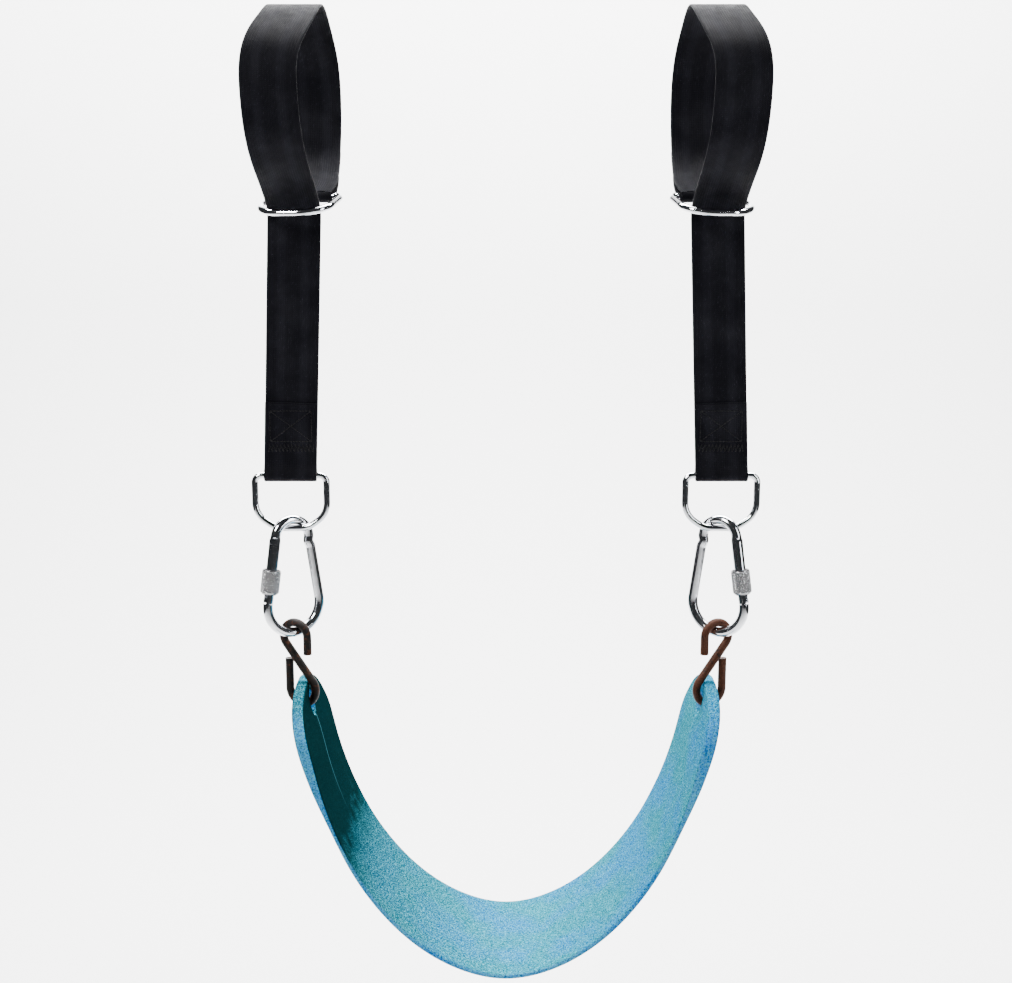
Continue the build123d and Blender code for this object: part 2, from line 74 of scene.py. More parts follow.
STITCH_W, STITCH_H, STITCH_RINGS, STITCH_AROUND = 0.95, 0.4, 7, 8
BOX_DROP, BOX_HALF, BOX_PITCH = 22, (19.6, 14.6), 3.1
TACK_TOP, TACK_LOW, TACK_LEFT, TACK_PITCH, TACK_COUNT = -17.2, -24.8, -21, 3.5, 13
BAR_TACKS, BAR_TACK_HALF, BAR_TACK_START, BAR_TACK_STEP = 5, 20.6, 4, 3.5

SEAT_HALF = 80
SEAT_LINE = [(0, -828.6), (44, -819.2), (80.8, -798.2), (122.3, -757), (148.8, -716), (167.4, -675.6),
             (184.2, -635.4), (195, -602.3), (202, -577.5), (204.5, -559.5)]
SEAT_TIP_Z, SEAT_END, SEAT_END_OVER = -553.5, 58, 0.6
SEAT_THIN, SEAT_THICK = 4.6, 12
SEAT_TAPER = (-690, -596)
SEAT_EDGE, SEAT_TIP_EDGE = 1.9, 3.6
SEAT_COLUMNS, SEAT_STATIONS, TIP_STATIONS, RIM_STEPS = 72, 150, 70, 5
HOLE_Z, HOLE_W, HOLE_H, HOLE_EDGE = -576, 24, 26, 1.6
PATCH_BELOW, PATCH_TIP, PATCH_HALF = 19, 4.5, 0.42

SLEEVE_R, SLEEVE_BORE, SLEEVE_L, SLEEVE_AT = 9, 5.8, 24, 31.7
RECESS_R, RECESS_L = 7.2, 5
KNURL_STARTS, KNURL_DEPTH, KNURL_PITCH, KNURL_POINTS = 32, 0.55, 1.77, 320
CARABINER_X, CARABINER_YAW = 206, radians(36)
TOP_BOW_Z, TOP_BOW_R, LOW_BOW_Z, LOW_BOW_R = -410.75, 18, -476.65, 28


# ---------------------------------------------------------------- curves and meshes
def spline(points, ends):
    """Smooth curve through 2-D points with the given end directions, as a dense array."""
    p = np.array(points, float)
    u = np.concatenate([[0], np.cumsum(np.linalg.norm(np.diff(p, axis=0), axis=1))])
    h = np.diff(u)
    n = len(p)
    slope = np.diff(p, axis=0) / h[:, None]
    matrix, right = np.zeros((n, n)), np.zeros((n, 2))
    for i in range(1, n - 1):
        matrix[i, i - 1:i + 2] = h[i - 1], 2 * (h[i - 1] + h[i]), h[i]
        right[i] = 6 * (slope[i] - slope[i - 1])
    matrix[0, :2], matrix[-1, -2:] = (2 * h[0], h[0]), (h[-1], 2 * h[-1])
    right[0] = 6 * (slope[0] - np.array(ends[0]))
    right[-1] = 6 * (np.array(ends[1]) - slope[-1])
    m = np.linalg.solve(matrix, right)
    out = []
    for i in range(n - 1):
        t = np.linspace(0, h[i], 60, endpoint=i == n - 2)[:, None]
        out.append(p[i] + t * (slope[i] - h[i] * (2 * m[i] + m[i + 1]) / 6)
                   + t ** 2 * m[i] / 2 + t ** 3 * (m[i + 1] - m[i]) / (6 * h[i]))
    return np.concatenate(out)


def arc(centre, radius, start, end, step):
    """Points of a circle between two angles, in the plane of the path."""
    count = max(3, ceil(abs(end - start) * radius / step) + 1)
    angles = np.linspace(start, end, count)
    return np.stack([centre[0] + radius * np.cos(angles), centre[1] + radius * np.sin(angles)], 1)


def line(a, b, step):
    """Evenly spaced points of a straight run."""
    a, b = np.array(a, float), np.array(b, float)
    count = max(2, ceil(np.linalg.norm(b - a) / step) + 1)
    return a + np.linspace(0, 1, count)[:, None] * (b - a)


def unit(v):
    return v / np.linalg.norm(v, axis=-1, keepdims=True)


def mesh_object(name, points, faces, side=1, uv=None, weld=False):
    """A mesh from points in mm on the right side, or mirrored to the left."""
    points = np.array(points, float) * MM
    if side < 0:
        points = points * (-1, 1, 1)
        faces = [tuple(reversed(f)) for f in faces]
    mesh = bpy.data.meshes.new(name)
    mesh.from_pydata(points.tolist(), [], faces)
    if uv is not None:
        layer = mesh.uv_layers.new(name="UVMap")
        index = np.zeros(len(mesh.loops), int)
        mesh.loops.foreach_get("vertex_index", index)
        layer.data.foreach_set("uv", np.array(uv, np.float32)[index].ravel())
    solid = bmesh.new()
    solid.from_mesh(mesh)
    if weld:
        bmesh.ops.remove_doubles(solid, verts=solid.verts, dist=1e-6)
    bmesh.ops.recalc_face_normals(solid, faces=solid.faces)
    solid.to_mesh(mesh)
    solid.free()
    mesh.shade_smooth()
    obj = bpy.data.objects.new(name, mesh)
    bpy.context.scene.collection.objects.link(obj)
    return obj


def ring_faces(rings, around, closed=False):
    """Quads between neighbouring rings of points."""
    faces = []
    for r in range(rings if closed else rings - 1):
        a, b = r * around, (r + 1) % rings * around
        for i in range(around):
            j = (i + 1) % around
            faces.append((a + i, a + j, b + j, b + i))
    return faces


def end_caps(rings, around):
    """The two faces that close a tube of rings."""
    return [tuple(range(around - 1, -1, -1)), tuple(range((rings - 1) * around, rings * around))]


# ---------------------------------------------------------------- webbing straps
def choke_angle():
    """Angle round the beam at which the webbing leaves it for the choke ring's bar."""
    y, z = CHOKE_BAR[1:]
    return atan2(z, y) + acos((WEB_MID_R + EYE_R) / hypot(y, z))


def strap_path():
    """Middle line of the right strap: points, width directions and length run so far."""
    bar = CHOKE_BAR[1:]
    leave = choke_angle()
    normal = np.array((cos(leave), sin(leave)))
    run = np.array((normal[1], -normal[0]))

    # the folded ply and the eye behind the beam, drawn square to the choke ring's bar
    fold = arc((0, 0), WEB_MID_R + WEB_T, leave + FOLD_OVERLAP, leave, 3)
    out_ply = line(fold[-1], bar + normal * EYE_R, 2)[1:]
    turn = atan2(run[1], run[0])
    eye = arc(bar, EYE_R, turn + pi / 2, turn - pi / 2, 0.7)[1:]
    in_ply = line(eye[-1], normal * WEB_MID_R, 2)[1:]

    # round the beam, down through the choke and round the lower bar
    apex = np.array(APEX, float)
    reach = acos(WEB_MID_R / hypot(*apex))
    front_leave = atan2(apex[1], apex[0]) - reach
    back = arc((0, 0), WEB_MID_R, leave, pi / 2, 3)[1:]
    front = arc((0, 0), WEB_MID_R, pi / 2, front_leave + 2 * pi, 3)[1:]
    along = unit(apex - front[-1])
    half_turn = acos(-along[1]) / 2
    cut = APEX_R * tan(half_turn)
    centre = apex + (-APEX_R, -cut)
    straight = line(front[-1], apex - along * cut, 3)[1:]
    bend = arc(centre, APEX_R, 2 * half_turn, 0, 1)[1:]
    down = line(bend[-1], (WEB_T / 2, FOLD_LOW), 3)[1:]
    to_eye = line(down[-1], (EYE_R, LOWER_BAR_Z), 1.5)[1:]
    low_eye = arc((0, LOWER_BAR_Z), EYE_R, 0, -pi, 0.7)[1:]
    from_eye = line(low_eye[-1], (-WEB_T / 2, FOLD_LOW), 1.5)[1:]
    up = line(from_eye[-1], (-WEB_T / 2, FOLD_TOP), 3)[1:]

    head = np.concatenate([fold, out_ply, eye, in_ply])
    body = np.concatenate([back, front, straight, bend, down, to_eye, low_eye, from_eye, up])

    # how far each head point has turned with the choke ring: none on the beam, all at the eye
    leaves_at = normal * WEB_MID_R
    share = np.clip(((head - leaves_at) @ run) / ((bar - leaves_at) @ run), 0, 1)
    yaw = CHOKE_YAW * share
    from_bar = head[:, 0] - bar[0]
    straight_head = np.stack([np.full(len(head), float(STRAP_BACK_X)), head[:, 0], head[:, 1]], 1)
    turned = np.stack([CHOKE_BAR[0] - from_bar * sin(CHOKE_YAW),
                       CHOKE_BAR[1] + from_bar * cos(CHOKE_YAW), head[:, 1]], 1)
    head_points = straight_head + share[:, None] * (turned - straight_head)
    head_width = np.stack([np.cos(yaw), np.sin(yaw), np.zeros(len(yaw))], 1)

    split = len(back)
    middle = np.empty(len(body))
    for part, drift in ((slice(0, split), BACK_DRIFT), (slice(split, None), FRONT_DRIFT)):
        curve = np.concatenate([spline(drift[:-1], ends=((0, -1), (0, -1))), [drift[-1]]])[::-1]
        middle[part] = np.interp(body[part, 1], curve[:, 1], curve[:, 0])
    hanging = np.arange(len(body)) >= split + len(front)
    fall = np.clip((SWING_Z - body[:, 1]) / (SWING_Z - LOWER_BAR_Z), 0, 1)
    middle = np.where(hanging & (body[:, 1] < APEX[1]),
                      STRAP_TOP_X + fall * (STRAP_LOW_X - STRAP_TOP_X), middle)
    body_points = np.stack([middle, body[:, 0], body[:, 1]], 1)
    body_width = np.tile((1.0, 0, 0), (len(body), 1))

    points = np.concatenate([head_points, body_points])
    width = np.concatenate([head_width, body_width])
    length = np.concatenate([[0], np.cumsum(np.linalg.norm(np.diff(points, axis=0), axis=1))])
    return points, width, length


def web_section():
    """Outline of the webbing: fine lengthwise ribs on both faces and round selvedges."""
    half_flat, half_t = WEB_W / 2 - SELVEDGE, WEB_T / 2
    across = np.linspace(-half_flat, half_flat, RIBS * 6 + 1)
    phase = (across + half_flat) / (2 * half_flat) * RIBS
    face = half_t - RIB_DEPTH * np.abs(np.cos(pi * phase)) ** 4
    turn = np.linspace(0, pi, 9)[1:-1]
    cap = np.stack([half_flat + SELVEDGE * np.sin(turn), (half_t - 0.05) * np.cos(turn)], 1)
    top = np.stack([across, face], 1)
    return np.concatenate([top, cap, top[::-1] * (1, -1), cap[::-1] * (-1, 1)])


def strap(side_name):
    """One webbing strap as a single continuous band."""
    side = SIDES[side_name]
    points, width, length = strap_path()
    tangent = unit(np.gradient(points, axis=0))
    width = unit(width - tangent * np.sum(width * tangent, 1, keepdims=True))
    normal = np.cross(width, tangent)
    section = web_section()
    rings, around = len(points), len(section)
    grid = (points[:, None] + width[:, None] * section[None, :, :1]
            + normal[:, None] * section[None, :, 1:])
    faces = ring_faces(rings, around) + end_caps(rings, around)
    uv = np.empty((rings, around, 2))
    uv[..., 0], uv[..., 1] = section[None, :, 0] * MM, length[:, None] * MM
    obj = mesh_object(f"{side_name}_webbing_strap", grid.reshape(-1, 3), faces, side,
                      uv.reshape(-1, 2))
    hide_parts(f"{side_name}_strap_loop", f"{side_name}_strap_tail")
    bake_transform(obj)
    return obj


# ---------------------------------------------------------------- sewing
def stitch(start, end, normal):
    """Points of one stitch: a thread that dives into the webbing at both ends."""
    normal = np.array(normal, float)
    along = end - start
    across = unit(np.cross(along, normal))
    points = []
    for t in np.linspace(0, 1, STITCH_RINGS):
        swell = sqrt(max(0.06, 1 - (2 * t - 1) ** 4))
        lift = normal * STITCH_H * (swell - 0.75) * 0.5
        for k in range(STITCH_AROUND):
            a = 2 * pi * k / STITCH_AROUND
            thread = across * cos(a) * STITCH_W / 2 + normal * sin(a) * STITCH_H * 0.85
            points.append(start + along * t + lift + swell * thread)
    return points


def sewing(name, runs, side):
    """Stitches along straight runs: each run is (start, end, normal, pitch)."""
    one = ring_faces(STITCH_RINGS, STITCH_AROUND) + end_caps(STITCH_RINGS, STITCH_AROUND)
    points, faces = [], []
    for start, end, normal, pitch in runs:
        start, end = np.array(start, float), np.array(end, float)
        count = max(1, round(np.linalg.norm(end - start) / pitch))
        step = (end - start) / count
        for i in range(count):
            first = len(points)
            points += stitch(start + step * (i + 0.04), start + step * (i + 0.96), normal)
            faces += [tuple(first + v for v in f) for f in one]
    return mesh_object(name, points, faces, side)


def tail_sewing(side_name):
    """Box with a cross, and a row of tacks below it, on both faces of the lower eye."""
    middle_z = FOLD_TOP - BOX_DROP
    fall = (middle_z - SWING_Z) / (LOWER_BAR_Z - SWING_Z)
    middle_x = STRAP_TOP_X + fall * (STRAP_LOW_X - STRAP_TOP_X)
    half_w, half_h = BOX_HALF
    corners = [(-half_w, -half_h), (half_w, -half_h), (half_w, half_h), (-half_w, half_h)]
    flat = [(corners[i], corners[(i + 1) % 4], BOX_PITCH) for i in range(4)]
    flat += [(corners[i], corners[i + 2], BOX_PITCH) for i in range(2)]
    for i in range(TACK_COUNT):
        x = TACK_LEFT + i * TACK_PITCH
        flat.append(((x - 0.5, TACK_TOP), (x + 0.5, TACK_LOW), 2.6))
        if i < TACK_COUNT - 1:
            flat.append(((x + 0.5, TACK_LOW), (x + TACK_PITCH - 0.5, TACK_TOP), 8))
    runs = []
    for out in (-1, 1):
        for a, b, pitch in flat:
            start, end = ((middle_x + x, out * WEB_T, middle_z + z) for x, z in (a, b))
            runs.append((start, end, (0, out, 0), pitch))
    obj = sewing(f"{side_name}_tail_thread", runs, SIDES[side_name])
    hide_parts(f"{side_name}_tail_stitching")
    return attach(obj, f"{side_name}_strap")


def loop_sewing(side_name):
    """Bar tacks across the choke eye's folded ply, behind the beam."""
    radius = WEB_MID_R + 1.5 * WEB_T
    runs = []
    for step in range(BAR_TACKS):
        a = choke_angle() + radians(BAR_TACK_START + BAR_TACK_STEP * step)
        y, z = radius * cos(a), radius * sin(a)
        start, end = ((STRAP_BACK_X + x, y, z) for x in (-BAR_TACK_HALF, BAR_TACK_HALF))
        runs.append((start, end, (0, cos(a), sin(a)), 3.0))
    obj = sewing(f"{side_name}_loop_thread", runs, SIDES[side_name])
    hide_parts(f"{side_name}_loop_stitching")
    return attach(obj, "beam_loops")


# ---------------------------------------------------------------- belt seat
def seat_stations():
    """Stations of the belt's right half: middle point, inward direction, half thickness, and the
    belt's half width with the direction (along, across) in which its rim faces."""
    outer = spline(SEAT_LINE, ends=((1, 0), (0, 1)))
    tangent = unit(np.gradient(outer, axis=0))
    inward = np.stack([-tangent[:, 1], tangent[:, 0]], 1)
    share = np.clip((outer[:, 1] - SEAT_TAPER[0]) / (SEAT_TAPER[1] - SEAT_TAPER[0]), 0, 1)
    thick = SEAT_THIN + (SEAT_THICK - SEAT_THIN) * share * share * (3 - 2 * share)
    middle = outer + inward * thick[:, None] / 2
    middle = np.concatenate([middle, [(middle[-1, 0], SEAT_TIP_Z)]])
    inward = np.concatenate([inward, inward[-1:]])
    thick = np.append(thick, thick[-1])

    # even steps along the bend, then even steps round the half-elliptic end
    tall, wide = SEAT_END - SEAT_EDGE, SEAT_HALF - SEAT_EDGE
    centre = SEAT_TIP_Z + SEAT_END_OVER - SEAT_END
    run = np.concatenate([[0], np.cumsum(np.linalg.norm(np.diff(middle, axis=0), axis=1))])
    start = np.interp(centre, middle[:, 1], run)
    last = asin((SEAT_END - SEAT_END_OVER - SEAT_EDGE) / tall)
    turn = np.linspace(0, last, TIP_STATIONS)[1:]
    at_tip = np.interp(centre + tall * np.sin(turn), middle[:, 1], run)
    at = np.concatenate([np.linspace(0, start, SEAT_STATIONS), at_tip])
    width = np.concatenate([np.full(SEAT_STATIONS, float(wide)), wide * np.cos(turn)])
    rim = np.concatenate([np.tile((0.0, 1.0), (SEAT_STATIONS, 1)),
                          unit(np.stack([wide * np.sin(turn), tall * np.cos(turn)], 1))])
    place = np.stack([np.interp(at, run, middle[:, k]) for k in (0, 1)], 1)
    facing = unit(np.stack([np.interp(at, run, inward[:, k]) for k in (0, 1)], 1))
    return place, facing, np.interp(at, run, thick) / 2, width, rim


def seat_ring(place, facing, h, w, rim, fractions, least=0.0):
    """Cross-section of the belt: flat faces out to w, then a rim rounded along its own direction,
    rounder towards the tip. The rings past the last station turn every point by at least an
    angle, which rounds the flat tip."""
    along = np.array((facing[1], -facing[0]))
    r = SEAT_EDGE + (SEAT_TIP_EDGE - SEAT_EDGE) * rim[0] ** 2
    turns = [max(a, least) for a in np.linspace(0, pi / 2, RIM_STEPS + 1)]

    def point(across, angle, face):
        out, height = SEAT_EDGE * sin(angle), face * (h - r + r * cos(angle))
        x, z = place + facing * height + along * out * rim[0]
        return x, across + np.sign(across) * out * rim[1], z

    inner = [point(f * w, least, 1) for f in fractions]
    outer = [point(f * w, least, -1) for f in fractions[::-1]]
    right = [point(w, a, 1) for a in turns[1:]] + [point(w, a, -1) for a in turns[:0:-1]]
    left = [point(-w, a, -1) for a in turns[1:]] + [point(-w, a, 1) for a in turns[:0:-1]]
    return inner + right + outer + left


def hole_reach(angle, grow):
    """Distance from the slot's middle to its edge in a direction, with the edge moved out by grow."""
    half_run, r = (HOLE_H - HOLE_W) / 2, HOLE_W / 2 + grow
    c, s = abs(cos(angle)), abs(sin(angle))
    if s * r <= half_run * c:
        return r / c
    return half_run * s + sqrt(r * r - (half_run * c) ** 2)


def slot_patch(points, block, outer_start):
    """Fills the block cut out of both faces with rings that lead into the slot's rounded wall."""
    i0, i1, j0, j1 = block
    walk = [(i0, j) for j in range(j0, j1)] + [(i, j1) for i in range(i0, i1)]
    walk += [(i1, j) for j in range(j1, j0, -1)] + [(i, j0) for i in range(i1, i0, -1)]
    steps = [(t, HOLE_EDGE, 0) for t in (0.2, 0.45, 0.75, 1.0)]
    steps += [(1.0, HOLE_EDGE * (1 - sin(a)), HOLE_EDGE * (1 - cos(a)))
              for a in (pi / 8, pi / 4, 3 * pi / 8, pi / 2)]
    new_points, wall = [], []
    for inner in (True, False):
        index = [i * points.shape[1] + (j if inner else outer_start + SEAT_COLUMNS - j) for i, j in walk]
        border = points.reshape(-1, 3)[index]
        angles = np.arctan2(border[:, 2] - HOLE_Z, border[:, 1])
        middle = points[:, SEAT_COLUMNS // 2 + (0 if inner else outer_start)]
        rings = [index]
        for t, grow, deep in steps:
            ring = []
            for b, a in zip(border, angles):
                reach = hole_reach(a, grow)
                y = b[1] + t * (reach * cos(a) - b[1])
                z = b[2] + t * (HOLE_Z + reach * sin(a) - b[2])
                x = np.interp(z, middle[:, 2], middle[:, 0]) + (deep if inner else -deep)
                ring.append(points.size // 3 + len(new_points))
                new_points.append((x, y, z))
            rings.append(ring)
        # in along the inner face, through the wall, and back out along the outer face
        wall += rings if inner else rings[::-1]
    count = len(walk)
    faces = [(a[k], a[(k + 1) % count], b[(k + 1) % count], b[k])
             for a, b in zip(wall[:-1], wall[1:]) for k in range(count)]
    return new_points, faces


def seat():
    """The moulded belt with rounded rims and a slot near each end."""
    fractions = np.sin(np.linspace(-pi / 2, pi / 2, SEAT_COLUMNS + 1))
    stations = seat_stations()
    rings = [seat_ring(*station, fractions) for station in zip(*stations)]
    rings += [seat_ring(*(part[-1] for part in stations), fractions, a)
              for a in np.linspace(0, pi / 2, RIM_STEPS + 1)[1:]]
    right = np.array(rings)
    around = right.shape[1]
    outer_start = SEAT_COLUMNS + 1 + 2 * RIM_STEPS
    outer_end = outer_start + SEAT_COLUMNS
    rows = [i for i, p in enumerate(stations[0]) if HOLE_Z - PATCH_BELOW < p[1] < SEAT_TIP_Z - PATCH_TIP]
    cols = [j for j, f in enumerate(fractions) if abs(f) < PATCH_HALF]
    i0, i1, j0, j1 = block = rows[0], rows[-1], cols[0], cols[-1]
    new_points, new_faces = slot_patch(right, block, outer_start)

    def cut(face):
        """Whether a quad of the half belt lies in the block that the slot replaces."""
        i, j = divmod(face[0], around)
        return i0 <= i < i1 and (j0 <= j < j1 or outer_end - j1 <= j < outer_end - j0)

    faces = [f for f in ring_faces(len(right), around) if not cut(f)]
    tip = (len(right) - 1) * around
    back = tip + outer_end
    faces += [(tip + j, tip + j + 1, back - j - 1, back - j) for j in range(SEAT_COLUMNS)]
    faces += [f[::-1] for f in new_faces]
    points = np.concatenate([right.reshape(-1, 3), np.array(new_points)])

    # the left half is the right one mirrored, and the two share the middle ring
    shift = len(points) - around
    left = [tuple(v if v < around else v + shift for v in f)[::-1] for f in faces]
    whole = np.concatenate([points, points[around:] * (-1, 1, 1)])
    obj = mesh_object("belt", whole, faces + left, weld=True)
    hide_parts("seat_belt")
    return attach(obj, "seat")


# ---------------------------------------------------------------- knurled sleeves
def sleeve(side_name):
    """Screw sleeve with a diamond knurl between two plain collars."""
    lean = asin((LOW_BOW_R - TOP_BOW_R) / (TOP_BOW_Z - LOW_BOW_Z))
    in_plane = np.array((cos(CARABINER_YAW), -sin(CARABINER_YAW), 0))
    along = in_plane * sin(lean) + (0, 0, -cos(lean))
    out = in_plane * cos(lean) + (0, 0, sin(lean))
    across = np.cross(along, out)
    start = np.array((CARABINER_X, 0, TOP_BOW_Z)) + out * TOP_BOW_R + along * SLEEVE_AT
    root = SLEEVE_R - KNURL_DEPTH
    # (distance along the sleeve, radius): bore, recess, first collar, knurl (no radius), last collar
    profile = [(SLEEVE_L, SLEEVE_BORE), (RECESS_L + 0.6, SLEEVE_BORE), (RECESS_L, SLEEVE_BORE + 0.4),
               (RECESS_L, RECESS_R - 0.2), (RECESS_L - 0.3, RECESS_R), (0.3, RECESS_R),
               (0, RECESS_R + 0.3), (0, SLEEVE_R - 1), (0.3, SLEEVE_R - 0.6), (1, SLEEVE_R - 0.06),
               (1.7, SLEEVE_R), (1.8, root)]
    profile += [(t, None) for t in np.linspace(2, SLEEVE_L - 3, 100)]
    profile += [(SLEEVE_L - 2.8, root), (SLEEVE_L - 2.7, SLEEVE_R), (SLEEVE_L - 2.2, SLEEVE_R - 0.06),
                (SLEEVE_L - 0.3, SLEEVE_R - 1.9), (SLEEVE_L, SLEEVE_R - 2.2)]
    angles = np.linspace(0, 2 * pi, KNURL_POINTS, endpoint=False)
    spokes = np.cos(angles)[:, None] * out + np.sin(angles)[:, None] * across
    points, heights = [], []
    for t, r in profile:
        if r is None:
            starts, lead = KNURL_STARTS * angles / (2 * pi), t / KNURL_PITCH
            ridges = [np.abs((helix % 1) * 2 - 1) for helix in (starts + lead, starts - lead)]
            height = np.minimum(np.minimum(*ridges) * 1.7, 1)
        else:
            height = np.full(KNURL_POINTS, 1 + (float(r) - SLEEVE_R) / KNURL_DEPTH)
        points.append(start + along * t + (root + KNURL_DEPTH * height[:, None]) * spokes)
        heights.append(np.stack([np.clip(height, 0, 1), np.full(KNURL_POINTS, t * MM)], 1))
    obj = mesh_object(f"{side_name}_knurled_sleeve", np.concatenate(points),
                      ring_faces(len(points), KNURL_POINTS, closed=True),
                      SIDES[side_name], np.concatenate(heights))
    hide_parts(f"{side_name}_lock_sleeve")
    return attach(obj, f"{side_name}_sleeve")


# ---------------------------------------------------------------- materials
class Finish:
    """Small helper that builds one node material."""

    def __init__(self, name):
        self.material = bpy.data.materials.new(name)
        self.material.use_nodes = True
        self.nodes = self.material.node_tree.nodes
        self.links = self.material.node_tree.links
        self.shader = next(n for n in self.nodes if n.type == "BSDF_PRINCIPLED")
        self.place = self.nodes.new("ShaderNodeTexCoord")

    def add(self, kind, values=None, **settings):
        node = self.nodes.new("ShaderNode" + kind)
        for key, value in settings.items():
            setattr(node, key, value)
        for key, value in (values or {}).items():
            self.put(node, key, value)
        return node

    def put(self, node, key, value):
        target = node.inputs[key]
        if isinstance(value, bpy.types.NodeSocket):
            self.links.new(value, target)
        else:
            target.default_value = value

    def math(self, operation, a, b=0.0):
        return self.add("Math", {0: a, 1: b}, operation=operation).outputs[0]

    def noise(self, size_mm, detail=4.0, roughness=0.55, at=None):
        """Noise whose features are about size_mm wide."""
        node = self.add("TexNoise", {"Vector": at or self.place.outputs["Object"],
                                     "Scale": 1 / (size_mm * MM), "Detail": detail,
                                     "Roughness": roughness})
        return node.outputs["Fac"]

    def spread(self, value, low, high, out_low=0.0, out_high=1.0):
        """Rescales a value from one range to another, clamped."""
        node = self.add("MapRange", {"Value": value, "From Min": low, "From Max": high,
                                     "To Min": out_low, "To Max": out_high})
        return node.outputs["Result"]

    def mix(self, share, a, b, blend="MIX"):
        node = self.nodes.new("ShaderNodeMix")
        node.data_type, node.blend_type = "RGBA", blend
        self.put(node, 0, share)
        self.put(node, 6, a)
        self.put(node, 7, b)
        return node.outputs[2]

    def bump(self, height, depth_mm, strength=1.0, under=None):
        values = {"Height": height, "Distance": depth_mm * MM, "Strength": strength}
        if under is not None:
            values["Normal"] = under
        return self.add("Bump", values).outputs["Normal"]

    def surface(self, **values):
        for key, value in values.items():
            self.put(self.shader, key.replace("_", " "), value)
        return self.material


def rgb(r, g, b):
    return (r, g, b, 1.0)


def webbing_finish():
    """Near-black nylon: plain weave with painted shade between the yarns, worn patches and two paler
    stripes.
    """
    f = Finish("webbing")
    uv = f.add("SeparateXYZ", {"Vector": f.place.outputs["UV"]})
    warp = f.math("MULTIPLY", uv.outputs["X"], 1000 / 1.1)
    weft = f.math("MULTIPLY", uv.outputs["Y"], 1000 / 1.7)
    shifted = f.math("ADD", weft, f.math("MULTIPLY", f.math("FLOOR", warp), 0.5))
    float_up = f.math("SINE", f.math("MULTIPLY", shifted, 2 * pi))
    yarn = f.math("SINE", f.math("MULTIPLY", f.math("FRACT", warp), pi))
    weave = f.math("MULTIPLY", yarn, f.math("ADD", f.math("MULTIPLY", float_up, 0.35), 0.65))
    fuzz = f.noise(0.35, 3)
    worn = f.spread(f.noise(38, 5), 0.42, 0.68)
    aside = f.math("ABSOLUTE", uv.outputs["X"])
    stripe = f.math("MULTIPLY", f.spread(aside, 0.0055, 0.0085), f.spread(aside, 0.0165, 0.0135))
    # painted shade: the tone follows the weave, darker between the yarns
    tone = f.math("ADD", f.spread(weave, 0.1, 1, 0.55, 1.15), f.math("MULTIPLY", stripe, 0.28))
    base = f.mix(worn, rgb(0.0056, 0.0056, 0.0078), rgb(0.0105, 0.0105, 0.0138))
    toned = f.mix(1.0, base, f.add("CombineColor", {0: tone, 1: tone, 2: tone}).outputs[0], "MULTIPLY")
    height = f.math("ADD", weave, f.math("MULTIPLY", fuzz, 0.25))
    return f.surface(Base_Color=toned, Roughness=f.spread(f.noise(9), 0.3, 0.7, 0.4, 0.56),
                     Normal=f.bump(height, 0.28, 0.8), Specular_IOR_Level=0.02)


def thread_finish():
    """Bonded black thread, a little shinier than the webbing."""
    f = Finish("thread")
    twist = f.add("TexWave", {"Vector": f.place.outputs["Object"], "Scale": 900.0, "Distortion": 1.2},
                  bands_direction="DIAGONAL")
    tone = f.mix(f.spread(f.noise(6), 0.35, 0.7), rgb(0.002, 0.002, 0.0025), rgb(0.006, 0.006, 0.007))
    return f.surface(Base_Color=tone, Roughness=f.spread(f.noise(3), 0.3, 0.7, 0.36, 0.5),
                     Normal=f.bump(twist.outputs["Fac"], 0.06, 0.7), Specular_IOR_Level=0.15)


def plated_finish(name, tint, low, high, grain_mm, valley_shade=0.0):
    """Bright plating with fine scratches, faint clouding and small pits. Painted shade, if any, darkens
    the knurl's valleys, where UV X, the height of the knurl, is low."""
    f = Finish(name)
    cloud = f.noise(11, 5)
    scratch_place = f.add("Mapping", {"Vector": f.place.outputs["Object"], "Scale": (1.0, 1.0, 0.12),
                                      "Rotation": (0.4, 0.9, 0.3)}).outputs[0]
    scratch = f.noise(grain_mm, 6, 0.7, at=scratch_place)
    pits = f.spread(f.noise(1.6, 2), 0.69, 0.76)
    tone = f.mix(f.spread(cloud, 0.38, 0.7), rgb(*tint), rgb(*(0.8 * c for c in tint)))
    tone = f.mix(pits, tone, rgb(0.16, 0.13, 0.11))
    if valley_shade:
        # painted shade: dark where the knurl is low, in its valleys
        deep = f.add("SeparateXYZ", {"Vector": f.place.outputs["UV"]}).outputs["X"]
        tone = f.mix(f.spread(deep, 0.85, 0.2, 0, valley_shade), tone, rgb(0.03, 0.03, 0.032))
    rough = f.math("ADD", f.spread(cloud, 0.3, 0.75, low, high), f.math("MULTIPLY", pits, 0.3))
    height = f.math("SUBTRACT", scratch, pits)
    return f.surface(Base_Color=tone, Metallic=f.spread(pits, 0, 1, 1.0, 0.6), Roughness=rough,
                     Normal=f.bump(height, 0.05, 0.5))


def rust_finish(name, rusty):
    """Weathered wire: near-black scale with rust blooms."""
    f = Finish(name)
    bloom = f.noise(7, 6, 0.62)
    grit = f.noise(0.9, 5, 0.7)
    speck = f.noise(0.35, 3, 0.6)
    dark = f.mix(f.spread(grit, 0.35, 0.7), rgb(0.0025, 0.0019, 0.0018), rgb(0.009, 0.0055, 0.0045))
    brown = f.mix(f.spread(grit, 0.35, 0.68), rgb(0.018, 0.0052, 0.0026), rgb(0.075, 0.024, 0.0095))
    tone = f.mix(f.spread(bloom, 0.62 - 0.3 * rusty, 0.72 - 0.3 * rusty), dark, brown)
    height = f.math("ADD", grit, f.math("MULTIPLY", speck, 0.5))
    return f.surface(Base_Color=tone, Metallic=0.3, Roughness=f.spread(bloom, 0.3, 0.7, 0.42, 0.72),
                     Specular_IOR_Level=0.2, Normal=f.bump(height, 0.22, 0.85))


